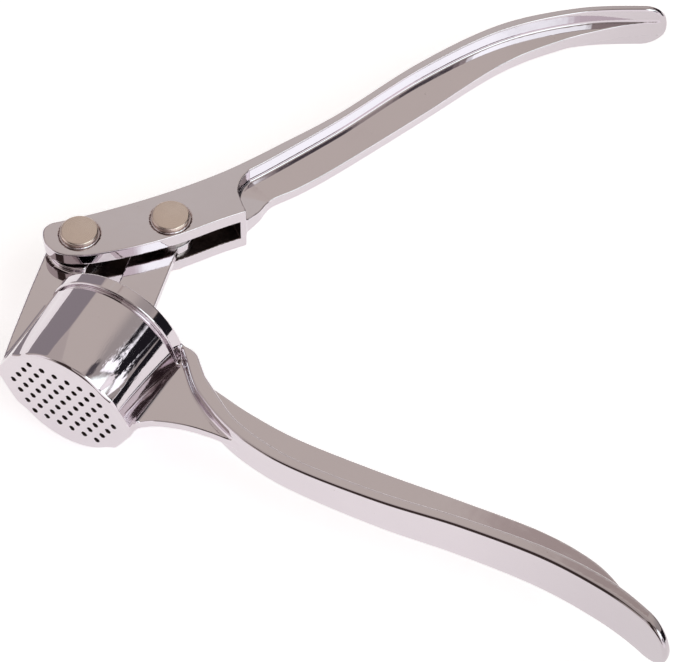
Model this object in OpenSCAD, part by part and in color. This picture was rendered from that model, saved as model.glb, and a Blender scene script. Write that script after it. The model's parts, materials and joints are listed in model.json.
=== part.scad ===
// Hand press for garlic: two die-cast levers, a cup with a sieve floor and a swinging plunger.
// Frame: +Y runs along the cup towards its mouth, +Z is the direction of both rivets, and the lower handle
// points along +X. The shapes are drawn from the centre of the sieve's outer face, and placed() moves them
// so that the origin is the bottom centre of the whole press, which lies on its side.

/* [Cup] */
// Outer radius of the cup at the sieve
cup_r_low = 15.6; // [15.5:0.1:16.4]
// Outer radius of the cup under its collar
cup_r_high = 16.6; // [16.4:0.1:17.2]
// Bore radius at the sieve
bore_r_low = 14.4; // [14.3:0.1:14.7]
// Bore radius at the mouth
bore_r_high = 15.4; // [15.2:0.1:15.8]
// Height of the collar's lower edge
collar_low = 21.8; // [21.4:0.1:22.6]
// Height of the cup's mouth
cup_h = 25.2; // [24.8:0.1:25.6]
// Outer radius of the collar
collar_r = 17.4; // [17:0.1:18]
// Thickness of the sieve floor
sieve_t = 1.5; // [1.2:0.1:1.8]
// Distance between neighbouring sieve holes
hole_pitch = 3.4; // [3:0.1:3.4]
// Diameter of a sieve hole
hole_d = 1.4; // [1:0.1:1.8]

/* [Pivots] */
// Main pivot, across the cup axis
pivot_x = -20.6; // [-20.8:0.1:-20.4]
// Main pivot, above the sieve
pivot_y = 39.9; // [39.7:0.1:40.1]
// Distance from the main pivot to the plunger pivot
crank_r = 22; // [21.8:0.1:22.2]
// Direction of the plunger pivot from the main pivot, in degrees
crank_angle = 42.2; // [41.5:0.1:43]
// Radius of a rivet's shank
shank_r = 2.8; // [2.5:0.1:3]
// Radius of a rivet's inner pin
pin_r = 1.7; // [1.4:0.1:1.9]
// Radius of a rivet's head
head_r = 4.6; // [4:0.1:5]
// Height of a rivet's head
head_h = 1.6; // [1.4:0.1:2.4]
// Radial running clearance in a moving eye
run_gap = 0.05; // [0.03:0.01:0.08]

/* [Levers] */
// Thickness of the fork and of the upper handle's flange
fork_t = 13; // [12.4:0.1:13.6]
// Width of the fork's slot
slot_w = 5.8; // [5.6:0.1:6]
// Thickness of both handles' centre ribs
rib_t = 2.8; // [2.4:0.1:3.2]
// Thickness of the arm and the web beside the cup
plate_t = 2.4; // [2:0.1:2.6]
// Thickness of the lower lever's eye
eye_t = 4.6; // [4.4:0.1:4.6]
// Radius of the lower lever's eye
eye_r = 7.6; // [7.2:0.1:7.8]

/* [Plunger] */
// Thickness of the stem
stem_t = 2.4; // [2:0.1:2.6]
// Radius of the stem's eye
stem_eye_r = 5.2; // [5:0.1:5.4]
// Radius of the disc
disc_r = 12.8; // [12.4:0.1:12.8]
// Thickness of the disc
disc_t = 3; // [2.6:0.1:3.2]
// Tilt of the plunger in the open press, in degrees
plunger_tilt = 12.3; // [12:0.1:12.6]

/* [Hidden] */
$fn = 64;
eps = 0.01;
steps = 5;
fork_h = fork_t / 2;
slot_h = slot_w / 2;
washer_t = slot_h - eye_t / 2 - 2 * run_gap;
spacer_t = slot_h - stem_t / 2 - 2 * run_gap;
washer_r = 5.6;
spacer_r = 4.9;
crank_x = pivot_x + crank_r * cos(crank_angle);
crank_y = pivot_y + crank_r * sin(crank_angle);
// Disc centre, measured from the plunger pivot with the plunger upright.
disc_dx = -2.3;
disc_dy = -31.5;
hub_r = 4.4;
hub_h = 2.6;
tenon_d = 2;
tenon_r = 3.4;
tenon_h = 6;
edge_c = 0.7;
head_c = 0.6;
groove_d = 0.6;
groove_w = 0.8;
flank_x = 18.2;
flank_z = 1.2;
shoulder_x = 13.2;
shoulder_z = 8.6;
hole_rows = 3;
hole_half = 4;
grip_half = 6.8;
grip_end_x = 142.6;
fork_angle = 53;
slot_end = 37.5;
slot_back = 20;
tip_angle = 26;
// Ends of the post's bore and of the pin in it, above the middle plane.
post_bore = 3;
pin_end = 2.8;
// How far a cutting tool passes the surface it cuts.
over = 1;

// Back of the upper lever, from the nose to the tip.
back_pts = [[-26.6, 41], [-20.5, 47.6], [-13.6, 55.8], [-7.4, 64], [-2.3, 71.6], [1.6, 78.4],
  [6.4, 88], [14, 104.2], [23, 128.8], [34.4, 150.5], [49.4, 166.2], [64.8, 176.2], [69, 178.4]];
// Inner face of the upper lever's flange, from the tip to the shoulder.
under_pts = [[70, 176.6], [65.8, 174.4], [50.6, 164.6], [36, 149], [24.7, 127.6], [15.6, 103],
  [8.1, 85.4], [4.3, 77.2]];
// Shoulder wall and lower edge of the fork, from the flange to the nose.
shoulder_pts = [[4.3, 77.2], [4.1, 73.6], [5.6, 69.8], [10.2, 65.6]];
fork_low_pts = [[10.2, 65.6], [6.1, 60.2], [0.2, 51.6], [-6.2, 44], [-13.1, 37.3], [-16.9, 34.4],
  [-21.4, 32.4], [-25.8, 33.2], [-28.6, 36.3], [-28.4, 39], [-26.6, 41]];
// Free edge of the upper lever's rib, from the fork to where it runs out, and its root inside the flange.
rib_pts = [[9.6, 64.8], [11, 70], [11.6, 75.2], [15.6, 82.2], [20.5, 93.1], [29.9, 117.2], [39.4, 142.3],
  [49, 157.4], [60.5, 169.6], [64.5, 174.6]];
rib_root_pts = [[60, 172.8], [49.8, 165.2], [35.4, 149.8], [24, 128.2], [14.8, 103.4], [7.2, 86], [2, 76],
  [4, 66]];
// Outer face of the lower lever's handle, from the cup to the tip.
outer_pts = [[17, 24.4], [19.5, 22], [26.4, 15.6], [36.5, 10.6], [46.8, 8.1], [58.4, 7.5], [77.9, 8.9],
  [96.4, 11.6], [115.3, 13.1], [130.2, 12.2], [140.9, 10], [149.6, 6.6]];
// Inner face of the lower handle's flange, from the tip to the cup.
inner_pts = [[150, 8.8], [142, 12.6], [130.6, 15.6], [115.3, 16.3], [96, 14.4], [77.5, 11.7], [58.6, 10.3],
  [47.6, 11], [37.8, 13.4], [28.6, 18.6]];
// Top of the lower lever's root, next to the cup.
root_pts = [[26, 20.2], [23.2, 22.8], [21.4, 24.4], [19.4, 25.1], [17, 25.2]];
// Free edge of the lower handle's rib, and its root inside the flange.
crest_pts = [[25.4, 20.4], [31.2, 19.3], [40, 17.9], [52.8, 17.2], [72.7, 18.6], [91.9, 20.7],
  [111.1, 22.4], [124, 21.4], [132.3, 18.4], [138, 14.2]];
crest_root_pts = [[130, 13.9], [115, 14.6], [96, 13], [77, 10.4], [58, 8.9], [44, 10], [30, 15.6]];
// Half width of the lower handle at stations along its length.
width_pts = [[10, 4.6], [48, 4.6], [62, 4.9], [95, 5.9], [120, 6.4], [142.6, 6.8]];
// Lower edge of the web between the cup and the handle, and its root inside both.
web_pts = [[16.4, 1.6], [18.2, 3], [21.8, 5.6], [27.9, 7.8], [34, 8.9], [41, 9.4]];
web_root_pts = [[36.4, 12.4], [26.6, 17], [20.6, 22.6], [15.9, 24], [15.9, 1.6]];
// Arm between the eye and the cup.
arm_pts = [[-28, 38], [-26.7, 32.8], [-24.3, 23.5], [-20.7, 10.4], [-17.8, 0.9], [-15.3, 0.9], [-15.9, 25],
  [-15.2, 32.5], [-16, 37.6]];
// Stem below its eye, in the open press.
stem_pts = [[-9.2, 52.6], [-10, 48], [-6.9, 34.4], [-4.9, 25.4], [5.9, 25.4], [3.75, 34.2], [-0.5, 51.6]];

casting_color = [0.72, 0.69, 0.68];
plunger_color = [0.74, 0.71, 0.7];
rivet_color = [0.66, 0.61, 0.52];
washer_color = [0.6, 0.6, 0.62];

// Point at t on the smooth curve that runs through b and c, with neighbours a and d.
function curve_pt(a, b, c, d, t) =
  0.5 * (2 * b + (c - a) * t + (2 * a - 5 * b + 4 * c - d) * t * t + (3 * b - a - 3 * c + d) * t * t * t);

// Smooth open curve through a list of points.
function smooth(p) = let (n = len(p)) concat([for (i = [0 : n - 2], k = [0 : steps - 1])
  curve_pt(p[max(i - 1, 0)], p[i], p[i + 1], p[min(i + 2, n - 1)], k / steps)], [p[n - 1]]);

function reversed(p) = [for (i = [len(p) - 1 : -1 : 0]) p[i]];

min_x = min([for (p = smooth(fork_low_pts)) p[0]]);
mid_x = (min_x + grip_end_x + grip_half) / 2;
mid_y = back_pts[len(back_pts) - 1][1] / 2;

module placed() {
  translate([-mid_x, -mid_y, collar_r]) children();
}

module slab(points, t) {
  linear_extrude(t, center = true) polygon(points);
}

// Cylinder or cone along +Y that starts at height y.
module along_cup(y, h, r1, r2) {
  translate([0, y, 0]) rotate([-90, 0, 0]) cylinder(h = h, r1 = r1, r2 = r2);
}

module at_pivot(x, y) {
  translate([x, y, 0]) children();
}

module ring(z, t, r_out, r_in) {
  translate([0, 0, z]) difference() {
    cylinder(h = t, r = r_out);
    translate([0, 0, -over]) cylinder(h = t + 2 * over, r = r_in);
  }
}

module sieve_holes() {
  for (row = [-hole_rows : hole_rows]) {
    count = 2 * hole_half + 1 - abs(row);
    for (i = [0 : count - 1]) {
      x = (i - (count - 1) / 2) * hole_pitch;
      z = row * hole_pitch * sin(60);
      translate([x, 0, z]) along_cup(-over, sieve_t + 2 * over, hole_d / 2, hole_d / 2);
    }
  }
}

module cup_flanks() {
  outline = [[flank_x, flank_z], [shoulder_x, shoulder_z], [-shoulder_x, shoulder_z], [-flank_x, flank_z],
    [-flank_x, -flank_z], [-shoulder_x, -shoulder_z], [shoulder_x, -shoulder_z], [flank_x, -flank_z]];
  translate([0, collar_low - groove_w, 0]) rotate([90, 0, 0])
    linear_extrude(collar_low - groove_w - edge_c) polygon(outline);
}

module cup_body() {
  along_cup(0, edge_c, cup_r_low - edge_c, cup_r_low);
  along_cup(edge_c, collar_low - groove_w - edge_c, cup_r_low, cup_r_high);
  along_cup(collar_low - groove_w, groove_w, cup_r_high - groove_d, cup_r_high - groove_d);
  along_cup(collar_low, cup_h - collar_low, collar_r, collar_r);
  cup_flanks();
}

module grip_plan() {
  side = [for (p = width_pts) p];
  other = [for (p = reversed(width_pts)) [p[0], -p[1]]];
  polygon(concat(side, other));
  translate([grip_end_x, 0]) circle(r = grip_half);
}

module lower_handle() {
  intersection() {
    slab(concat(smooth(outer_pts), smooth(inner_pts), smooth(root_pts)), 2 * (grip_half + over));
    translate([0, cup_h + over, 0]) rotate([90, 0, 0]) linear_extrude(cup_h + 2 * over) grip_plan();
  }
  slab(concat(smooth(crest_pts), crest_root_pts), rib_t);
}

module lower_lever() {
  placed() color(casting_color) difference() {
    union() {
      cup_body();
      lower_handle();
      slab(concat(smooth(web_pts), web_root_pts), plate_t);
      slab(arm_pts, plate_t);
      at_pivot(pivot_x, pivot_y) cylinder(h = eye_t, r = eye_r, center = true);
    }
    along_cup(sieve_t, cup_h - sieve_t + eps, bore_r_low, bore_r_high);
    along_cup(cup_h - edge_c, edge_c + eps, bore_r_high - eps, bore_r_high + edge_c);
    sieve_holes();
    at_pivot(pivot_x, pivot_y) cylinder(h = eye_t + 2 * over, r = shank_r + run_gap, center = true);
  }
}

module upper_tip() {
  translate(back_pts[len(back_pts) - 1]) rotate([0, 0, tip_angle]) rotate([90, 0, 0])
    linear_extrude(2 * fork_t, center = true) difference() {
      translate([-fork_h, -fork_t]) square([fork_t, 2 * fork_t]);
      translate([-fork_h, 0]) circle(r = fork_h);
    }
}

module upper_lever() {
  placed() color(casting_color) difference() {
    union() {
      slab(concat(smooth(back_pts), smooth(under_pts), smooth(shoulder_pts), smooth(fork_low_pts)), fork_t);
      slab(concat(smooth(rib_pts), rib_root_pts), rib_t);
    }
    upper_tip();
    translate([pivot_x, pivot_y, 0]) rotate([0, 0, fork_angle])
      translate([-slot_back, -slot_back, -slot_h]) cube([slot_back + slot_end, 2 * slot_back, slot_w]);
    at_pivot(pivot_x, pivot_y) cylinder(h = fork_t + 2 * over, r = shank_r, center = true);
    at_pivot(crank_x, crank_y) cylinder(h = fork_t + 2 * over, r = shank_r, center = true);
  }
}

module plunger_stem() {
  placed() color(plunger_color) difference() {
    union() {
      slab(stem_pts, stem_t);
      at_pivot(crank_x, crank_y) cylinder(h = stem_t, r = stem_eye_r, center = true);
      on_plunger() translate([disc_dx, disc_dy + disc_t / 2 + hub_h - tenon_d, 0])
        translate([-tenon_r, 0, -stem_t / 2]) cube([2 * tenon_r, tenon_h, stem_t]);
    }
    at_pivot(crank_x, crank_y) cylinder(h = stem_t + 2 * over, r = shank_r + run_gap, center = true);
  }
}

module on_plunger() {
  translate([crank_x, crank_y, 0]) rotate([0, 0, plunger_tilt]) children();
}

module press_disc() {
  placed() color(plunger_color) on_plunger() translate([disc_dx, disc_dy - disc_t / 2, 0]) difference() {
    union() {
      along_cup(0, edge_c, disc_r - edge_c, disc_r);
      along_cup(edge_c, disc_t - edge_c, disc_r, disc_r);
      along_cup(disc_t, hub_h, hub_r + edge_c, hub_r);
    }
    translate([-tenon_r, disc_t + hub_h - tenon_d, -stem_t / 2])
      cube([2 * tenon_r, tenon_d + over, stem_t]);
  }
}

module rivet_head() {
  cylinder(h = head_h - head_c, r = head_r);
  translate([0, 0, head_h - head_c]) cylinder(h = head_c, r1 = head_r, r2 = head_r - head_c);
}

module rivet_post() {
  color(rivet_color) difference() {
    union() {
      translate([0, 0, fork_h]) rivet_head();
      translate([0, 0, -fork_h]) cylinder(h = fork_t, r = shank_r);
    }
    translate([0, 0, -fork_h - over]) cylinder(h = fork_h + over + post_bore, r = pin_r);
  }
}

module rivet_pin() {
  color(rivet_color) {
    translate([0, 0, -fork_h]) mirror([0, 0, 1]) rivet_head();
    translate([0, 0, -fork_h - eps]) cylinder(h = fork_h + eps + pin_end, r = pin_r);
  }
}

module main_rivet_post() {
  placed() at_pivot(pivot_x, pivot_y) rivet_post();
}

module main_rivet_pin() {
  placed() at_pivot(pivot_x, pivot_y) rivet_pin();
}

module plunger_rivet_post() {
  placed() at_pivot(crank_x, crank_y) rivet_post();
}

module plunger_rivet_pin() {
  placed() at_pivot(crank_x, crank_y) rivet_pin();
}

module eye_washer_upper() {
  placed() color(washer_color) at_pivot(pivot_x, pivot_y)
    ring(eye_t / 2 + run_gap, washer_t, washer_r, shank_r + run_gap);
}

module eye_washer_lower() {
  placed() color(washer_color) mirror([0, 0, 1]) at_pivot(pivot_x, pivot_y)
    ring(eye_t / 2 + run_gap, washer_t, washer_r, shank_r + run_gap);
}

module stem_spacer_upper() {
  placed() color(washer_color) at_pivot(crank_x, crank_y)
    ring(stem_t / 2 + run_gap, spacer_t, spacer_r, shank_r + run_gap);
}

module stem_spacer_lower() {
  placed() color(washer_color) mirror([0, 0, 1]) at_pivot(crank_x, crank_y)
    ring(stem_t / 2 + run_gap, spacer_t, spacer_r, shank_r + run_gap);
}

lower_lever();
upper_lever();
plunger_stem();
press_disc();
main_rivet_post();
main_rivet_pin();
plunger_rivet_post();
plunger_rivet_pin();
eye_washer_upper();
eye_washer_lower();
stem_spacer_upper();
stem_spacer_lower();
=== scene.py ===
"""Looks of the hand press: two chrome castings, a plunger, nickel rivets and a white studio.

The castings are built here as one skin each: their outlines are joined as distance fields, so that every
edge is rounded and every corner between walls has its cast fillet. Lengths in the shapes are millimetres
from the centre of the sieve's outer face, as in the CAD, and placed() brings them to the frame's metres.
"""

import json
import math

import bpy
import numpy as np
from mathutils import Euler, Matrix


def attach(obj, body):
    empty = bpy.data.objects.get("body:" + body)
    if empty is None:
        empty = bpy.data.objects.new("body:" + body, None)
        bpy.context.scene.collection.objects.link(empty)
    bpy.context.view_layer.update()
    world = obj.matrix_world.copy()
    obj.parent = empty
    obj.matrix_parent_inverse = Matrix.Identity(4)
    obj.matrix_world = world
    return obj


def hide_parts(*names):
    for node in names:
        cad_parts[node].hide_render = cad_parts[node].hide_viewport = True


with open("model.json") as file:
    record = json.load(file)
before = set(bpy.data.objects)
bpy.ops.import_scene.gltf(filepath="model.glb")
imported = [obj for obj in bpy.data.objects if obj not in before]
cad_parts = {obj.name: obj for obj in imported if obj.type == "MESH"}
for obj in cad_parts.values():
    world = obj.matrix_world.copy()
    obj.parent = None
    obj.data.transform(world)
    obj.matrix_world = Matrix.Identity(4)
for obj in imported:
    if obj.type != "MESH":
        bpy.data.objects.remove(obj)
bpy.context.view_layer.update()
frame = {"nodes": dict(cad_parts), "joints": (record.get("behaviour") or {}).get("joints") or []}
MM = 0.001

# --- sizes, in millimetres -------------------------------------------------------------------------------

# Cup: radius of the wall at the sieve and under the collar, radius of the bore at the sieve and at the top,
# the collar's foot, top and radius, and the groove under it, with half the height of the neck inside it.
CUP_R_LOW, CUP_R_HIGH = 15.6, 16.6
BORE_R_LOW, BORE_R_HIGH = 14.4, 15.4
COLLAR_LOW, CUP_H, COLLAR_R = 21.8, 25.2, 17.4
GROOVE_W, GROOVE_D, NECK_HALF_H = 0.8, 0.6, 2
# Below TUCK_Y the wall draws in by TUCK times the square of the depth.
TUCK, TUCK_Y = 0.006, 9
# Sieve floor and its holes: HOLE_ROWS rows lie on each side of the middle row, and HOLE_HALF holes on each
# side of that row's middle hole.
SIEVE_T, HOLE_PITCH, HOLE_R, HOLE_OVERRUN = 1.5, 3.4, 0.7, 0.2
HOLE_ROWS, HOLE_HALF = 3, 4
# The cup's flanks are flat from the one edge to the other, both given as half sizes along x and z.
FLANK = (18.2, 1.2)
SHOULDER_EDGE = (13.2, 8.6)

# Rivets: the main one and the plunger's, which sits at a radius and an angle from it.
PIVOT = (-20.6, 39.9)
CRANK_R, CRANK_ANGLE = 22, 42.2
CRANK = (
    PIVOT[0] + CRANK_R * math.cos(math.radians(CRANK_ANGLE)),
    PIVOT[1] + CRANK_R * math.sin(math.radians(CRANK_ANGLE)),
)
# Shank and its running gap, the head and how much it domes, the groove round the head, and the far half's
# pin, which ends at PIN_TOP in a hole that ends at PIN_BORE_TOP.
SHANK_R, RUN_GAP = 2.8, 0.05
HEAD_R, HEAD_H, HEAD_CROWN = 4.6, 1.6, 0.01
RING_R, RING_GAP = 0.32, 0.1
PIN_R, PIN_TOP, PIN_BORE_TOP = 1.7, 2.8, 3

# Half thicknesses: fork, its slot, the handles' ribs, the plates, the eye and the stem.
FORK_H, SLOT_H, RIB_H, PLATE_H, EYE_H, STEM_H = 6.5, 2.9, 1.4, 1.2, 2.3, 1.2
EYE_R, STEM_EYE_R = 7.6, 5.2
# Direction of the fork, in degrees, and how far its slot reaches from the pivot.
FORK_ANGLE, SLOT_END = 53, 37.5
# Direction of the upper handle's tip, and where the lower handle's round end begins.
TIP_ANGLE = 26
GRIP_END_X = 142.6
# The upper rib's half thickness at its root, at its edge, and how fast the one turns into the other.
RIB_ROOT_H, RIB_EDGE_H, RIB_DRAFT = 2.4, 1.3, 0.12

# Plunger disc and hub, placed from the crank in axes that lean by PLUNGER_TILT degrees.
DISC_R, DISC_T, DISC_DX, DISC_DY = 12.8, 3, -2.3, -31.5
HUB_R, HUB_H = 4.6, 2.6
PLUNGER_TILT = 12.3

# Radii of the rounded edges. The levers' long edges get rounder along the handle: a place and the radius
# there, from the tip in the upper lever and along x in the lower.
UPPER_EDGE = [(-40, 0.3), (-5, 0.9)]
LOWER_EDGE = [(40, 0.7), (110, 0.9), (145, 1.1)]
EDGE = {
    "rib": 0.3, "slot": 0.3, "slot_corner": 0.1, "rivet_hole": 0.2, "ring": 0.15, "flank": 0.8,
    "sieve_rim": 0.85, "wall_top": 0.3, "collar": 0.45, "inner_face": 0.6, "web": 0.35, "arm": 0.4,
    "bore": 0.4, "bore_floor": 0.6, "sieve_hole": 0.15, "eye_hole": 0.3, "stem": 0.25, "stem_hole": 0.1,
    "disc": 0.5, "head": 0.5, "seat": 0.1, "shank": 0.1, "pin": 0.2,
}
# Radii of the cast fillets in the corners between walls.
FILLET = {
    "upper_rib": 0.6, "flank": 2.5, "groove": 0.25, "lower_rib": 0.8, "web": 0.8, "cup": 0.9, "eye": 0.5,
    "arm": 0.6, "hub": 0.8,
}

# Points of the upper lever: its back from nose to tip, the flange's inner face back to the shoulder, the
# shoulder's wall, the fork's lower edge back to the nose, the rib's free edge and the rib's root.
BACK = [
    (-26.6, 41), (-20.5, 47.6), (-13.6, 55.8), (-7.4, 64), (-2.3, 71.6), (1.6, 78.4), (6.4, 88),
    (14, 104.2), (23, 128.8), (34.4, 150.5), (49.4, 166.2), (64.8, 176.2), (69, 178.4),
]
UNDER = [
    (70, 176.6), (65.8, 174.4), (50.6, 164.6), (36, 149), (24.7, 127.6), (15.6, 103), (8.1, 85.4),
    (4.3, 77.2),
]
SHOULDER = [
    (4.3, 77.2), (4.1, 73.6), (5.6, 69.8), (10.2, 65.6),
]
FORK_LOW = [
    (10.2, 65.6), (6.1, 60.2), (0.2, 51.6), (-6.2, 44), (-13.1, 37.3), (-16.9, 34.4), (-21.4, 32.4),
    (-25.8, 33.2), (-28.6, 36.3), (-28.4, 39), (-26.6, 41),
]
RIB = [
    (9.6, 64.8), (11, 70), (11.6, 75.2), (15.6, 82.2), (20.5, 93.1), (29.9, 117.2), (39.4, 142.3),
    (49, 157.4), (58, 167.3), (64.2, 172.6), (67.6, 174.8), (68.4, 176.4),
]
RIB_ROOT = [
    (66, 176.2), (60, 172.8), (49.8, 165.2), (35.4, 149.8), (24, 128.2), (14.8, 103.4), (7.2, 86),
    (2, 76), (4, 66),
]
# Points of the lower lever: the handle's outer face from cup to tip and a frame beyond it, its inner face
# back to the cup, the top of its root and a frame beyond that, the rib's free edge and root, the half
# widths along x, the web's edge and root, and the arm.
OUTER = [
    (17, 24.4), (19.5, 22), (26.4, 15.6), (36.5, 10.6), (46.8, 8.1), (58.4, 7.5), (77.9, 8.9), (96.4, 11.6),
    (115.3, 13.1), (130.2, 12.2), (140.9, 10), (149.6, 6.6),
]
OUTER_FRAME = [
    (156, 4), (156, 40), (12, 40), (12, 24.4),
]
INNER = [
    (150, 8.8), (142, 12.6), (130.6, 15.6), (115.3, 16.3), (96, 14.4), (77.5, 11.7), (58.6, 10.3),
    (47.6, 11), (37.8, 13.4), (28.6, 18.6),
]
ROOT = [
    (26, 20.2), (23.2, 22.8), (21.4, 24.4), (19.4, 25.1), (17, 25.2),
]
INNER_FRAME = [
    (12, 25.2), (12, 0), (156, 0), (156, 8),
]
CREST = [
    (25.4, 20.4), (31.2, 19.3), (40, 17.9), (52.8, 17.2), (72.7, 18.6), (91.9, 20.7), (111.1, 22.4),
    (124, 21.4), (132.3, 18.4), (138, 14.2),
]
CREST_ROOT = [
    (130, 13.9), (115, 14.6), (96, 13), (77, 10.4), (58, 8.9), (44, 10), (30, 15.6),
]
WIDTH = [
    (10, 4.6), (48, 4.6), (62, 4.9), (95, 5.9), (120, 6.4), (142.6, 6.8),
]
WEB = [
    (16.4, 1.6), (18.2, 3), (21.8, 5.6), (27.9, 7.8), (34, 8.9), (41, 9.4),
]
WEB_ROOT = [
    (36.4, 12.4), (26.6, 17), (20.6, 22.6), (15.9, 24), (15.9, 1.6),
]
ARM = [
    (-28, 38), (-26.7, 32.8), (-24.3, 23.5), (-20.7, 10.4), (-17.8, 0.9), (-15.3, 0.9), (-15.9, 25),
    (-15.2, 32.5), (-16, 37.6),
]
# Outline of the plunger's stem, from the crank's eye down to the disc and back.
STEM = [
    (-9.2, 52.6), (-10, 48), (-6.9, 34.4), (-4.9, 25.4), (5.9, 25.4), (3.75, 34.2), (-0.5, 51.6),
]

# --- distance fields -------------------------------------------------------------------------------------

FIELD_PITCH = 0.4
FIELD_MARGIN = 3
CELL_SLACK = 0.001  # keeps a place inside the last cell that can be read
SKIN_MARGIN = 2  # empty cells round a skin's box
SETTLE_STEPS = 3
LEAST_SLOPE_2 = 0.3  # keeps a point from leaping where the field is nearly flat
LEAST_NORMAL = 0.01


def smooth(points, steps=12):
    """Smooth open curve through a list of points."""
    p = np.array(points, float)
    p = np.vstack([p[:1], p, p[-1:]])
    a, b, c, d = (p[i : len(p) - 3 + i, None] for i in range(4))
    t = (np.arange(steps) / steps)[None, :, None]
    curve = (
        2 * b + (c - a) * t + (2 * a - 5 * b + 4 * c - d) * t**2 + (3 * b - a - 3 * c + d) * t**3
    )
    return np.vstack([curve.reshape(-1, 2) / 2, p[-1:]])


class Outline:
    """Signed distance to a closed outline, sampled once on a grid and read back with cubic weights."""

    def __init__(self, *curves):
        p = np.vstack([np.array(c, float) for c in curves])
        self.lo = p.min(0) - FIELD_MARGIN
        count = np.ceil((p.max(0) + FIELD_MARGIN - self.lo) / FIELD_PITCH).astype(int) + 1
        x = self.lo[0] + FIELD_PITCH * np.arange(count[0])[:, None]
        y = self.lo[1] + FIELD_PITCH * np.arange(count[1])[None, :]
        nearest = np.full(count, np.inf)
        inside = np.zeros(count, bool)
        for a, b in zip(p, np.roll(p, -1, 0)):
            side = b - a
            if not side.any():
                continue
            dx, dy = x - a[0], y - a[1]
            t = np.clip((dx * side[0] + dy * side[1]) / (side @ side), 0, 1)
            nearest = np.minimum(nearest, (dx - t * side[0]) ** 2 + (dy - t * side[1]) ** 2)
            if side[1]:
                inside ^= ((a[1] > y) != (b[1] > y)) & (dx < side[0] * dy / side[1])
        self.grid = np.where(inside, -1, 1) * np.sqrt(nearest)

    def __call__(self, x, y):
        x, y = np.broadcast_arrays(x, y)
        cells, weights = [], []
        for axis, value in enumerate((x, y)):
            # Cubic weights read one cell before and two cells after a place.
            place = (value - self.lo[axis]) / FIELD_PITCH
            place = np.clip(place, 1, self.grid.shape[axis] - 2 - CELL_SLACK)
            cell = np.floor(place).astype(int)
            t = place - cell
            cells.append(cell)
            weights.append((
                (-t + 2 * t**2 - t**3) / 2,
                (2 - 5 * t**2 + 3 * t**3) / 2,
                (t + 4 * t**2 - 3 * t**3) / 2,
                (t**3 - t**2) / 2,
            ))
        return sum(
            weights[0][i] * weights[1][j] * self.grid[cells[0] + i - 1, cells[1] + j - 1]
            for i in range(4)
            for j in range(4)
        )


def both(a, b, r):
    """Where two solids overlap, with the edge between their faces rounded to radius r."""
    corner = np.hypot(np.maximum(a + r, 0), np.maximum(b + r, 0))
    return np.minimum(np.maximum(a, b), -r) + corner


def either(a, b, r):
    """Two solids joined, with a fillet of radius r in the corner between them."""
    corner = np.hypot(np.maximum(r - a, 0), np.maximum(r - b, 0))
    return np.maximum(np.minimum(a, b), r) - corner


def without(a, b, r):
    """The first solid with the second cut out, and the cut's edge rounded to radius r."""
    return both(a, -b, r)


def slope(field, p, step=0.02):
    """The field's gradient at points p."""
    parts = []
    for axis in range(3):
        offset = np.zeros(3)
        offset[axis] = step
        parts.append((field(*(p + offset).T) - field(*(p - offset).T)) / (2 * step))
    return np.stack(parts, 1)


def crossing_points(value, cell):
    """Mean of the points where the surface crosses each cell's edges, in cell units."""
    total = np.zeros((len(cell), 3))
    hits = np.zeros(len(cell))
    for start in np.ndindex(2, 2, 2):
        for axis in range(3):
            if start[axis]:
                continue
            end = np.array(start)
            end[axis] = 1
            a = value[tuple((cell + start).T)]
            b = value[tuple((cell + end).T)]
            cut = (a < 0) != (b < 0)
            point = np.tile(np.array(start, float), (len(cell), 1))
            point[:, axis] = np.where(cut, a / np.where(cut, a - b, 1), 0)
            total += point * cut[:, None]
            hits += cut
    return total / hits[:, None]


def quads_between(inside, number):
    """One quad for each grid edge that the surface cuts, facing outwards."""
    quads = []
    for axis in range(3):
        u, v = (axis + 1) % 3, (axis + 2) % 3
        first = np.take(inside, range(inside.shape[axis] - 1), axis)
        second = np.take(inside, range(1, inside.shape[axis]), axis)
        edge = np.argwhere(first != second)
        corners = []
        for du, dv in ((-1, -1), (0, -1), (0, 0), (-1, 0)):
            cell = edge.copy()
            cell[:, u] += du
            cell[:, v] += dv
            corners.append(number[tuple(cell.T)])
        quad = np.stack(corners, 1)
        leaving = first[tuple(edge.T)]
        quad[~leaving] = quad[~leaving, ::-1]
        quads.append(quad)
    return np.vstack(quads)


def stations(lo, hi, pitch, fine=None):
    """Places along one axis, closer together between fine's two ends where fine gives its own pitch."""
    start, end = lo - SKIN_MARGIN * pitch, hi + SKIN_MARGIN * pitch
    cuts = [(start, end, pitch)]
    if fine:
        fine_start = max(fine[0], start)
        cuts = [(start, fine_start, pitch), (fine_start, fine[1], fine[2]), (fine[1], end, pitch)]
    parts = [
        np.linspace(a, b, math.ceil((b - a) / step), endpoint=False)
        for a, b, step in cuts
        if b > a
    ]
    return np.append(np.concatenate(parts), end)


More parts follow.
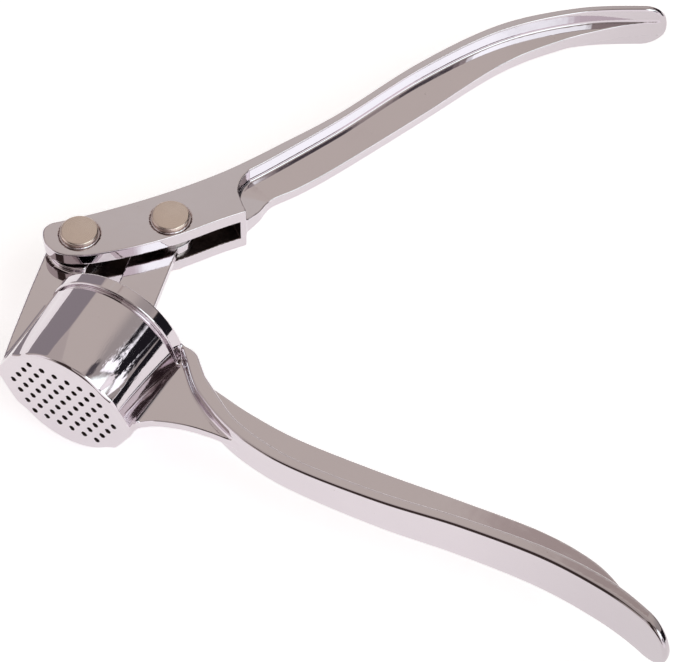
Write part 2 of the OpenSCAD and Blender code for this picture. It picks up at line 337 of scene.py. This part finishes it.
def skin(name, field, box, pitch, fine):
    """A closed mesh on the field's surface inside a box, with the field's slope as its normals.

    Each mixed cell of the grid gets one point, which then settles on the surface in a few Newton steps.
    """
    axes = [stations(lo, hi, pitch, part) for lo, hi, part in zip(*box, fine)]
    value = field(axes[0][:, None, None], axes[1][None, :, None], axes[2][None, None, :])
    inside = value < 0
    corners = [
        inside[tuple(slice(s, n - 1 + s) for s, n in zip(start, inside.shape))]
        for start in np.ndindex(2, 2, 2)
    ]
    mixed = np.logical_or.reduce(corners) & ~np.logical_and.reduce(corners)
    cell = np.argwhere(mixed)
    number = np.full(mixed.shape, -1)
    number[tuple(cell.T)] = np.arange(len(cell))
    place = cell + crossing_points(value, cell)
    points = np.stack([np.interp(place[:, i], np.arange(len(a)), a) for i, a in enumerate(axes)], 1)
    for _ in range(SETTLE_STEPS):
        gradient = slope(field, points)
        size2 = np.maximum((gradient**2).sum(1), LEAST_SLOPE_2)
        step = np.clip(field(*points.T), -pitch / 2, pitch / 2) / size2
        points -= step[:, None] * gradient
    normals = slope(field, points)
    normals /= np.maximum(np.linalg.norm(normals, axis=1), LEAST_NORMAL)[:, None]
    mesh = bpy.data.meshes.new(name)
    mesh.from_pydata(placed(points).tolist(), [], quads_between(inside, number).tolist())
    mesh.polygons.foreach_set("use_smooth", [True] * len(mesh.polygons))
    mesh.normals_split_custom_set_from_vertices(normals.tolist())
    obj = bpy.data.objects.new(name, mesh)
    bpy.context.collection.objects.link(obj)
    return obj


# The main hinge's place in the record ties the shapes' millimetres to the frame's metres.
HINGE = next(j for j in frame["joints"] if j["name"] == "main_hinge")["pos_m"]


def placed(points):
    """Shape millimetres to frame metres."""
    return np.array(points, float) * MM + np.array(HINGE) - np.array((*PIVOT, 0)) * MM


# --- castings --------------------------------------------------------------------------------------------

upper_side = Outline(smooth(BACK), smooth(UNDER), smooth(SHOULDER), smooth(FORK_LOW))
upper_rib = Outline(smooth(RIB), RIB_ROOT)
handle_outside = Outline(smooth(OUTER), OUTER_FRAME)
handle_inside = Outline(smooth(INNER), smooth(ROOT), INNER_FRAME)
handle_rib = Outline(smooth(CREST), CREST_ROOT)
web_side = Outline(smooth(WEB), WEB_ROOT)
arm_side = Outline(ARM)
stem_side = Outline(STEM)


def round_hole(x, y, centre, r):
    """Distance to the wall of a round hole through the levers."""
    return np.hypot(x - centre[0], y - centre[1]) - r


def along_table(x, table):
    """Read a list of place and value at x."""
    return np.interp(x, *np.array(table).T)


def turned(x, y, centre, degrees):
    """x and y in axes that are turned by an angle about a point."""
    c, s = math.cos(math.radians(degrees)), math.sin(math.radians(degrees))
    dx, dy = x - centre[0], y - centre[1]
    return dx * c + dy * s, dy * c - dx * s


def upper_field(x, y, z):
    """Upper lever: the flange between back and underside, its rib, and the fork with its slot and holes."""
    height = np.abs(z)
    side = upper_side(x, y)
    along = turned(x, y, BACK[-1], TIP_ANGLE)[0]
    plan = np.hypot(np.maximum(along + FORK_H, 0), z) - FORK_H
    lever = both(side, plan, along_table(along, UPPER_EDGE))
    rib_h = np.maximum(RIB_ROOT_H - RIB_DRAFT * np.maximum(side, 0), RIB_EDGE_H)
    rib = both(upper_rib(x, y), height - rib_h, EDGE["rib"])
    lever = either(lever, rib, FILLET["upper_rib"])
    slot_along = turned(x, y, PIVOT, FORK_ANGLE)[0]
    slot = both(slot_along - SLOT_END, height - SLOT_H, EDGE["slot_corner"])
    lever = without(lever, slot, EDGE["slot"])
    for centre in (PIVOT, CRANK):
        lever = without(lever, round_hole(x, y, centre, SHANK_R), EDGE["rivet_hole"])
        ring = np.hypot(round_hole(x, y, centre, HEAD_R + RING_GAP), height - FORK_H) - RING_R
        lever = without(lever, ring, EDGE["ring"])
    return lever


def cup_field(x, y, z):
    """The cup's outside: a tapered wall with flat flanks, a neck and a collar."""
    r = np.hypot(x, z)
    taper = (CUP_R_HIGH - CUP_R_LOW) / COLLAR_LOW
    cone = r - CUP_R_LOW - taper * y + TUCK * np.maximum(TUCK_Y - y, 0) ** 2
    wall_top = COLLAR_LOW - GROOVE_W
    side, height = np.abs(x), np.abs(z)
    lean = np.array((SHOULDER_EDGE[1] - FLANK[1], FLANK[0] - SHOULDER_EDGE[0]))
    lean = lean / np.hypot(*lean)
    flat = (side - FLANK[0]) * lean[0] + (height - FLANK[1]) * lean[1]
    flank = np.maximum(both(flat, side - FLANK[0], EDGE["flank"]), height - SHOULDER_EDGE[1])
    wall = either(cone, flank, FILLET["flank"])
    cup = both(both(wall, -y, EDGE["sieve_rim"]), y - wall_top, EDGE["wall_top"])
    neck = np.maximum(r - CUP_R_HIGH + GROOVE_D, np.abs(y - wall_top) - NECK_HALF_H)
    collar_mid, collar_half = (CUP_H + COLLAR_LOW) / 2, (CUP_H - COLLAR_LOW) / 2
    collar = both(r - COLLAR_R, np.abs(y - collar_mid) - collar_half, EDGE["collar"])
    return either(either(cup, neck, FILLET["groove"]), collar, FILLET["groove"])


def lower_field(x, y, z):
    """Lower lever: handle, rib, web, cup and arm joined, and the bore, sieve and eye's hole cut."""
    height = np.abs(z)
    plan = np.hypot(np.maximum(x - GRIP_END_X, 0), z) - along_table(x, WIDTH)
    handle = both(handle_outside(x, y), plan, along_table(x, LOWER_EDGE))
    lever = both(handle, handle_inside(x, y), EDGE["inner_face"])
    rib = both(handle_rib(x, y), height - RIB_H, EDGE["rib"])
    lever = either(lever, rib, FILLET["lower_rib"])
    web = both(web_side(x, y), height - PLATE_H, EDGE["web"])
    lever = either(lever, web, FILLET["web"])
    lever = either(lever, cup_field(x, y, z), FILLET["cup"])
    arm = both(arm_side(x, y), height - PLATE_H, EDGE["arm"])
    eye = both(round_hole(x, y, PIVOT, EYE_R), height - EYE_H, EDGE["arm"])
    lever = either(lever, either(arm, eye, FILLET["eye"]), FILLET["arm"])
    taper = (BORE_R_HIGH - BORE_R_LOW) / (CUP_H - SIEVE_T)
    wall = np.hypot(x, z) - BORE_R_LOW - taper * (y - SIEVE_T)
    lever = without(lever, both(wall, SIEVE_T - y, EDGE["bore_floor"]), EDGE["bore"])
    holes = sieve_holes(x, z) + np.maximum(y - SIEVE_T - HOLE_OVERRUN, 0)
    lever = without(lever, holes, EDGE["sieve_hole"])
    return without(lever, round_hole(x, y, PIVOT, SHANK_R + RUN_GAP), EDGE["eye_hole"])


def sieve_holes(x, z):
    """Distance to the nearest hole's wall: seven rows of six to nine holes on a triangular grid."""
    nearest = np.inf
    for row in range(-HOLE_ROWS, HOLE_ROWS + 1):
        count = 2 * HOLE_HALF + 1 - abs(row)
        middle = (count - 1) / 2
        hole_x = (np.clip(np.round(x / HOLE_PITCH + middle), 0, count - 1) - middle) * HOLE_PITCH
        hole_z = row * HOLE_PITCH * math.sin(math.radians(60))
        nearest = np.minimum(nearest, np.hypot(x - hole_x, z - hole_z))
    return nearest - HOLE_R


def stem_field(x, y, z):
    """Plunger stem: a flat plate with an eye round the plunger's rivet."""
    plate = np.minimum(stem_side(x, y), round_hole(x, y, CRANK, STEM_EYE_R))
    plate = both(plate, np.abs(z) - STEM_H, EDGE["stem"])
    return without(plate, round_hole(x, y, CRANK, SHANK_R + RUN_GAP), EDGE["stem_hole"])


def disc_field(x, y, z):
    """Plunger disc with the hub that holds the stem."""
    across, up = turned(x, y, CRANK, PLUNGER_TILT)
    r = np.hypot(across - DISC_DX, z)
    up = up - DISC_DY
    disc = both(r - DISC_R, np.abs(up) - DISC_T / 2, EDGE["disc"])
    hub = both(r - HUB_R, np.abs(up - DISC_T / 2) - HUB_H, EDGE["disc"])
    return either(disc, hub, FILLET["hub"])


def head_field(r, up):
    """A rivet's head from its seat upwards: a low dome with a rounded edge."""
    crown = HEAD_H - HEAD_CROWN * r**2
    return both(both(r - HEAD_R, up - crown, EDGE["head"]), -up, EDGE["seat"])


def post_field(centre):
    """A rivet's near half: head and shank, with the blind hole that takes the pin."""
    def field(x, y, z):
        r = np.hypot(x - centre[0], y - centre[1])
        shank = both(r - SHANK_R, np.abs(z) - FORK_H, EDGE["shank"])
        post = np.minimum(shank, head_field(r, z - FORK_H))
        hole = both(r - PIN_R, z - PIN_BORE_TOP, EDGE["shank"])
        return without(post, hole, EDGE["shank"])
    return field


def pin_field(centre):
    """A rivet's far half: a head and the pin that is pressed into the post."""
    middle, half = (PIN_TOP - FORK_H) / 2, (PIN_TOP + FORK_H) / 2

    def field(x, y, z):
        r = np.hypot(x - centre[0], y - centre[1])
        shank = both(r - PIN_R, np.abs(z - middle) - half, EDGE["pin"])
        return np.minimum(shank, head_field(r, -z - FORK_H))
    return field


# --- materials -------------------------------------------------------------------------------------------

# Linear colours of the metals: each one's own, what its wear turns it to, and the painted shade that
# darkens the handles' tips and the walls of the slot and sieve holes.
PLATE, PLATE_HAZE = (0.69, 0.63, 0.665), (0.67, 0.61, 0.645)
# The pits' colour is wear; the second colour is painted shade towards the handles' tips.
PLATE_PIT, PLATE_TIP_SHADE = (0.42, 0.36, 0.36), (0.54, 0.49, 0.515)
# Painted shade, deep and soft, for the walls of the slot and the sieve's holes.
RECESS_SHADE_DEEP, RECESS_SHADE_SOFT = (0.05, 0.032, 0.03), (0.11, 0.08, 0.075)
NICKEL, NICKEL_GRAIN = (0.73, 0.61, 0.55), (0.69, 0.57, 0.505)
STEEL, STEEL_OIL = (0.5, 0.48, 0.48), (0.3, 0.27, 0.26)
# Depth of each metal's relief, in metres.
PLATE_DEPTH, CASTING_DEPTH, NICKEL_DEPTH, STEEL_DEPTH = 0.00001, 0.00004, 0.0000015, 0.000006
# Roughness of the plate on the castings and on the plunger, what haze and polishing lines add to it, and
# the lines' share of the relief.
CASTING_POLISH, PLUNGER_POLISH = 0.035, 0.06
HAZE_ROUGH, LINE_ROUGH, LINE_RELIEF = 0.05, 0.08, 0.03
# Distance from the hinge, in metres, at which the painted shade towards the handles' tips starts and is
# full.
TIP_SHADE_START, TIP_SHADE_FULL = 0.12, 0.178
# Coarse polishing streaks on the cup: their middle in shape millimetres, the radii in metres within which
# they are full and beyond which there are none, and their strength.
STREAK_SPOT = (9.6, 9.5, 12.9)
STREAK_FULL, STREAK_END, STREAK_RELIEF = 0.003, 0.008, 1.8
# Radians of turning marks for each metre from a rivet's axis.
TURNING = 14000
# How far each pattern of lines is drawn out along each axis.
HANDLE_LINES, CUP_LINES, PLUNGER_LINES = (6, 14, 1), (14, 5, 1), (1, 12, 1)
STREAK_LINES, STEEL_LINES = (1, 5, 1), (8, 1, 1)
RING_ROUGH = 0.06


def new_material(name):
    """A material with nodes, and the place on the object's own mesh that its patterns follow."""
    material = bpy.data.materials.new(name)
    material.use_nodes = True
    tree = material.node_tree
    return material, tree, tree.nodes.new("ShaderNodeTexCoord").outputs["Object"]


def math_node(tree, operation, a, b=None):
    """A math node; a and b are numbers or other nodes' outputs."""
    node = tree.nodes.new("ShaderNodeMath")
    node.operation = operation
    for socket, value in zip(node.inputs, (a, b)):
        if value is None:
            continue
        if isinstance(value, (int, float)):
            socket.default_value = value
        else:
            tree.links.new(value, socket)
    return node.outputs[0]


def noise(tree, place, size, detail, stretch=(1, 1, 1)):
    """Noise from 0 to 1 with spots of about size metres, drawn out along each axis by stretch."""
    mapping = tree.nodes.new("ShaderNodeMapping")
    mapping.inputs["Scale"].default_value = [1 / (size * k) for k in stretch]
    tree.links.new(place, mapping.inputs["Vector"])
    node = tree.nodes.new("ShaderNodeTexNoise")
    node.inputs["Scale"].default_value = 1
    node.inputs["Detail"].default_value = detail
    tree.links.new(mapping.outputs[0], node.inputs["Vector"])
    return node.outputs["Fac"]


def ramp(tree, value, low, high, at_low=0, at_high=1, blend="LINEAR"):
    """Map a value from low..high to at_low..at_high and hold it outside."""
    node = tree.nodes.new("ShaderNodeMapRange")
    node.interpolation_type = blend
    for socket, number in zip(("From Min", "From Max", "To Min", "To Max"), (low, high, at_low, at_high)):
        node.inputs[socket].default_value = number
    tree.links.new(value, node.inputs["Value"])
    return node.outputs[0]


def tinted(tree, amount, color_a, color_b):
    """Blend of two colours by an amount; a colour is an RGB tuple or another node's output."""
    mix = tree.nodes.new("ShaderNodeMix")
    mix.data_type = "RGBA"
    tree.links.new(amount, mix.inputs["Factor"])
    for name, color in (("A", color_a), ("B", color_b)):
        if isinstance(color, tuple):
            mix.inputs[name].default_value = (*color, 1)
        else:
            tree.links.new(color, mix.inputs[name])
    return mix.outputs["Result"]


def finish_metal(material, color, roughness, height, depth):
    """Join a metal's colour, roughness and relief to its shader; height 1 stands depth metres proud."""
    tree = material.node_tree
    shader = tree.nodes["Principled BSDF"]
    shader.inputs["Metallic"].default_value = 1
    bump = tree.nodes.new("ShaderNodeBump")
    bump.inputs["Strength"].default_value = 1
    bump.inputs["Distance"].default_value = depth
    tree.links.new(height, bump.inputs["Height"])
    tree.links.new(color, shader.inputs["Base Color"])
    tree.links.new(roughness, shader.inputs["Roughness"])
    tree.links.new(bump.outputs[0], shader.inputs["Normal"])
    return material


def distance_to(tree, place, centre):
    """Distance in metres from a point given in shape millimetres."""
    node = tree.nodes.new("ShaderNodeVectorMath")
    node.operation = "DISTANCE"
    tree.links.new(place, node.inputs[0])
    node.inputs[1].default_value = placed(centre)
    return node.outputs["Value"]


def chrome_plate(name, lines_along, polish):
    """Bright plate over polished castings: faint polishing lines, haze, pits, and painted shade that
    darkens the handles towards their tips.

    One patch on the cup's side has coarse polishing streaks, which break up what it mirrors.
    """
    material, tree, place = new_material(name)
    haze = noise(tree, place, size=0.012, detail=4)
    lines = noise(tree, place, size=0.00035, detail=3, stretch=lines_along)
    peel = noise(tree, place, size=0.0035, detail=1)
    pits = noise(tree, place, size=0.0009, detail=2)
    clean = tinted(tree, haze, PLATE, PLATE_HAZE)
    worn = tinted(tree, ramp(tree, pits, 0.74, 0.8, 0, 0.5), clean, PLATE_PIT)
    # Painted shade: the plate turns darker with distance from the hinge, towards the handles' tips.
    tip_shade = ramp(tree, distance_to(tree, place, (*PIVOT, 0)), TIP_SHADE_START, TIP_SHADE_FULL)
    color = tinted(tree, tip_shade, worn, PLATE_TIP_SHADE)
    hazy = ramp(tree, haze, 0.42, 0.72, polish, polish + HAZE_ROUGH)
    rough = math_node(tree, "ADD", hazy, ramp(tree, lines, 0.55, 0.8, 0, LINE_ROUGH))
    relief = math_node(tree, "ADD", peel, math_node(tree, "MULTIPLY", lines, LINE_RELIEF))
    streaks = noise(tree, place, size=0.00035, detail=1, stretch=STREAK_LINES)
    patch = ramp(
        tree, distance_to(tree, place, STREAK_SPOT), STREAK_FULL, STREAK_END, STREAK_RELIEF, 0
    )
    relief = math_node(tree, "ADD", relief, math_node(tree, "MULTIPLY", streaks, patch))
    return finish_metal(material, color, rough, relief, PLATE_DEPTH)


def painted_recess_shade(name):
    """Painted shade on the walls of the slot and the sieve's holes: dark, granular, dull."""
    material, tree, place = new_material(name)
    grain = noise(tree, place, size=0.0008, detail=5)
    shade_patches = noise(tree, place, size=0.005, detail=3)
    # Painted shade: a near-black colour in place of the chrome, in patches.
    color = tinted(tree, ramp(tree, shade_patches, 0.35, 0.65), RECESS_SHADE_DEEP, RECESS_SHADE_SOFT)
    return finish_metal(material, color, ramp(tree, grain, 0.3, 0.7, 0.3, 0.5), grain, CASTING_DEPTH)


def turned_nickel(name, centre):
    """Plated rivet heads: warm, satin, with turning rings round each rivet's own axis."""
    material, tree, place = new_material(name)
    middle = placed((*centre, 0))
    flat = tree.nodes.new("ShaderNodeMapping")
    flat.inputs["Location"].default_value = (-middle[0], -middle[1], 0)
    flat.inputs["Scale"].default_value = (1, 1, 0)
    tree.links.new(place, flat.inputs["Vector"])
    radius = tree.nodes.new("ShaderNodeVectorMath")
    radius.operation = "LENGTH"
    tree.links.new(flat.outputs[0], radius.inputs[0])
    wobble = noise(tree, place, size=0.002, detail=3)
    turns = math_node(tree, "MULTIPLY", radius.outputs["Value"], TURNING)
    rings = ramp(tree, math_node(tree, "SINE", math_node(tree, "ADD", turns, wobble)), -1, 1)
    grain = noise(tree, place, size=0.0004, detail=4)
    color = tinted(tree, grain, NICKEL, NICKEL_GRAIN)
    satin = ramp(tree, wobble, 0.35, 0.7, 0.2, 0.3)
    rough = math_node(tree, "ADD", satin, math_node(tree, "MULTIPLY", rings, RING_ROUGH))
    return finish_metal(material, color, rough, math_node(tree, "ADD", rings, grain), NICKEL_DEPTH)


def blank_steel(name):
    """Punched washers: plain steel, rolled grain one way, darker where it is oily."""
    material, tree, place = new_material(name)
    grain = noise(tree, place, size=0.0003, detail=3, stretch=STEEL_LINES)
    oil = noise(tree, place, size=0.004, detail=3)
    color = tinted(tree, ramp(tree, oil, 0.4, 0.65), STEEL, STEEL_OIL)
    return finish_metal(material, color, ramp(tree, grain, 0.3, 0.7, 0.2, 0.38), grain, STEEL_DEPTH)


def dress(obj, material):
    """Give an object one material in place of what it has."""
    obj.data.materials.clear()
    obj.data.materials.append(material)


# --- pieces ----------------------------------------------------------------------------------------------

# The box that holds each piece, lowest corner and highest corner, in shape millimetres.
UPPER_BOX = (-29, 32, -6.5), (70.5, 179, 6.5)
LOWER_BOX = (-29, 0, -17.5), (150, 48, 17.5)
STEM_BOX = (-11, 25, -1.3), (7, 60.5, 1.3)
DISC_BOX = (-14, 17, -13), (17, 32, 13)
BOX_MARGIN = 0.1
# Mesh pitch of each piece. The cup's stretch of each axis, start and end, has a finer one.
UPPER_PITCH, LOWER_PITCH, STEM_PITCH, DISC_PITCH, RIVET_PITCH = 0.3, 0.5, 0.3, 0.4, 0.25
CUP_FINE = (-16, 25, 0.27), (-0.4, 27, 0.27), (-17.5, 17.5, 0.27)
NOT_FINE = None, None, None
# How far the painted shade reaches past the slot's walls, and stays short of the sieve's faces and the
# bore.
SLOT_LINING, FACE_GAP, BORE_GAP = 0.15, 0.1, 0.3


def piece(name, field, box, pitch, body, node, material, fine=NOT_FINE):
    """Build one skin, which rides on a body and stands for a CAD node."""
    obj = skin(name, field, box, pitch, fine)
    dress(obj, material)
    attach(obj, body)
    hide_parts(node)
    return obj


def line_with(obj, material, chosen):
    """Give the faces whose middles are chosen, in shape millimetres, a material of their own."""
    obj.data.materials.append(material)
    centres = np.empty(3 * len(obj.data.polygons))
    obj.data.polygons.foreach_get("center", centres)
    x, y, z = ((centres.reshape(-1, 3) - placed((0, 0, 0))) / MM).T
    obj.data.polygons.foreach_set("material_index", chosen(x, y, z).astype(int))


def in_slot(x, y, z):
    """Points on the walls of the fork's slot."""
    along = turned(x, y, PIVOT, FORK_ANGLE)[0]
    return (np.abs(z) < SLOT_H + SLOT_LINING) & (along < SLOT_END + SLOT_LINING)


def in_sieve_hole(x, y, z):
    """Points on the walls of the sieve's holes."""
    return (np.hypot(x, z) < BORE_R_LOW - BORE_GAP) & (y > FACE_GAP) & (y < SIEVE_T - FACE_GAP)


def rivet_box(centre, z_low, z_high):
    """The box that holds one half of a rivet."""
    r = HEAD_R + BOX_MARGIN
    return (
        (centre[0] - r, centre[1] - r, z_low - BOX_MARGIN),
        (centre[0] + r, centre[1] + r, z_high + BOX_MARGIN),
    )


handle_chrome = chrome_plate("handle_chrome", HANDLE_LINES, CASTING_POLISH)
cup_chrome = chrome_plate("cup_chrome", CUP_LINES, CASTING_POLISH)
plunger_chrome = chrome_plate("plunger_chrome", PLUNGER_LINES, PLUNGER_POLISH)
steel = blank_steel("washer_steel")
shade_lining = painted_recess_shade("painted_recess_shade")

upper = piece("upper_casting", upper_field, UPPER_BOX, UPPER_PITCH, "upper", "upper_lever",
              handle_chrome)
lower = piece("lower_casting", lower_field, LOWER_BOX, LOWER_PITCH, "lower", "lower_lever",
              cup_chrome, CUP_FINE)
# Painted shade on the walls of the slot and the sieve's holes.
line_with(upper, shade_lining, in_slot)
line_with(lower, shade_lining, in_sieve_hole)
piece("stem", stem_field, STEM_BOX, STEM_PITCH, "plunger", "plunger_stem", plunger_chrome)
piece("disc", disc_field, DISC_BOX, DISC_PITCH, "plunger", "press_disc", plunger_chrome)
for label, centre in (("main", PIVOT), ("plunger", CRANK)):
    nickel = turned_nickel(f"{label}_nickel", centre)
    head_top = FORK_H + HEAD_H
    piece(f"{label}_post", post_field(centre), rivet_box(centre, -FORK_H, head_top), RIVET_PITCH, "upper",
          f"{label}_rivet_post", nickel)
    piece(f"{label}_pin", pin_field(centre), rivet_box(centre, -head_top, PIN_TOP), RIVET_PITCH, "upper",
          f"{label}_rivet_pin", nickel)
for name, obj in frame["nodes"].items():
    if "washer" in name or "spacer" in name:
        dress(obj, steel)


# --- floor, surroundings, light, camera ------------------------------------------------------------------

FLOOR_SIZE = 1.6
FLOOR_COLOR, FLOOR_GLOW, GLOW_COLOR = (0.9, 0.9, 0.9, 1), 0.54, (1, 0.99, 1, 1)


def floor():
    """A lit white table top, so that the press stands in white with hardly a shadow."""
    bpy.ops.mesh.primitive_plane_add(size=FLOOR_SIZE, location=(0, 0, 0))
    plane = bpy.context.object
    plane.name = "floor"
    material = bpy.data.materials.new("floor_white")
    material.use_nodes = True
    shader = material.node_tree.nodes["Principled BSDF"]
    shader.inputs["Base Color"].default_value = FLOOR_COLOR
    shader.inputs["Roughness"].default_value = 1
    shader.inputs["Specular IOR Level"].default_value = 0
    shader.inputs["Emission Color"].default_value = GLOW_COLOR
    shader.inputs["Emission Strength"].default_value = FLOOR_GLOW
    dress(plane, material)


# Soft boxes and dark flags round the press: middle azimuth, half width, softness of the sides, middle
# elevation, half height, softness of the top and bottom, all in degrees, and the light they give. Azimuth 0
# is +X and 90 is +Y. A later one covers the ones before it.
SURROUNDINGS = [
    ("zenith", 0, 200, 8, 84, 8, 8, (0.52, 0.47, 0.45)),
    ("white_side", -20, 42, 5, 5, 48, 5, (1.2, 1.17, 1.2)),
    ("white_front", -142, 14, 6, 12, 18, 6, (1.05, 1.0, 1.02)),
    ("back_gray", 90, 56, 2, 70, 29, 2, (0.64, 0.59, 0.54)),
    ("back_bright", 112, 16, 6, 44, 7, 3, (0.672, 0.645, 0.61)),
    ("dark_beam", 109.5, 3.5, 3, 56.7, 1.1, 1, (0.5, 0.43, 0.4)),
    ("back_shade", 25, 42, 60, 46, 12, 14, (0.43, 0.4, 0.385)),
    ("purple_wall", 165, 25, 1.5, 12, 28, 1.5, (0.315, 0.287, 0.305)),
    ("key_box", -6, 26, 5, 47, 15, 3, (1.95, 2.25, 2.2)),
    ("dark_post", -6, 12, 4, 25, 7, 4, (0.05, 0.05, 0.06)),
    ("dark_strip", 30, 6, 3, 58, 4, 3, (0.1, 0.09, 0.1)),
    ("dark_side", 38, 8, 1.5, -8, 16, 2, (0.06, 0.045, 0.05)),
    ("black_wall", 52, 30, 2, 8, 22, 2, (0.02, 0.018, 0.02)),
    ("black_flag", 28, 6, 1.5, 12, 27, 1.5, (0.015, 0.014, 0.018)),
    ("black_low", 20, 8, 1.5, 0, 13, 1.5, (0.015, 0.014, 0.018)),
    ("white_gap", 26, 3.2, 2, 35, 6, 2, (1.6, 1.65, 1.7)),
    ("white_gap_top", 28, 4, 2, 42.5, 3.5, 2, (1.6, 1.65, 1.7)),
    ("dark_camera_side", -112, 20, 5, 50, 22, 5, (0.05, 0.035, 0.03)),
    ("dark_front", -92, 26, 5, 19, 15, 5, (0.06, 0.045, 0.045)),
    ("dark_overhead", -50, 34, 4, 71, 7, 4, (0.12, 0.1, 0.1)),
]
ROOM = (0.55, 0.50, 0.47)
WHITE = (1.0, 1.0, 1.0)


def surroundings():
    """The studio as a world colour by direction, which only reflections and light see."""
    world = bpy.data.worlds.new("studio")
    bpy.context.scene.world = world
    world.use_nodes = True
    tree = world.node_tree

    def soft_edge(value, middle, half, soft):
        gap = math_node(tree, "ABSOLUTE", math_node(tree, "SUBTRACT", value, middle))
        return ramp(tree, gap, half - soft / 2, half + soft / 2, 1, 0, "SMOOTHSTEP")

    split = tree.nodes.new("ShaderNodeSeparateXYZ")
    tree.links.new(tree.nodes.new("ShaderNodeTexCoord").outputs["Generated"], split.inputs[0])
    x, y, z = split.outputs
    azimuth = math_node(tree, "DEGREES", math_node(tree, "ARCTAN2", y, x))
    elevation = math_node(tree, "DEGREES", math_node(tree, "ARCSINE", z))
    light = ROOM
    for name, *sides_and_ends, color in SURROUNDINGS:
        sides = soft_edge(azimuth, *sides_and_ends[:3])
        ends = soft_edge(elevation, *sides_and_ends[3:])
        light = tinted(tree, math_node(tree, "MULTIPLY", sides, ends), light, color)
        light.node.label = name
    seen = tree.nodes.new("ShaderNodeLightPath").outputs["Is Camera Ray"]
    tree.links.new(tinted(tree, seen, light, WHITE), tree.nodes["Background"].inputs["Color"])


LENS, SENSOR = 145.8, 36
# The camera's place in shape millimetres, and its tilt up from straight down, its roll and its turn about
# the vertical, in degrees.
CAMERA_PLACE = (231.04, -293.99, 511.98)
CAMERA_TURN = (37.3533, -0.6828, 29.3458)


def camera():
    """A telephoto view of the press from above the handles' ends."""
    data = bpy.data.cameras.new("camera")
    data.lens = LENS
    data.sensor_width = SENSOR
    obj = bpy.data.objects.new("camera", data)
    bpy.context.collection.objects.link(obj)
    turn = Euler([math.radians(angle) for angle in CAMERA_TURN]).to_matrix().to_4x4()
    obj.matrix_world = Matrix.Translation(placed(CAMERA_PLACE)) @ turn
    bpy.context.scene.camera = obj


bpy.context.scene.view_settings.view_transform = "Standard"
floor()
surroundings()
camera()
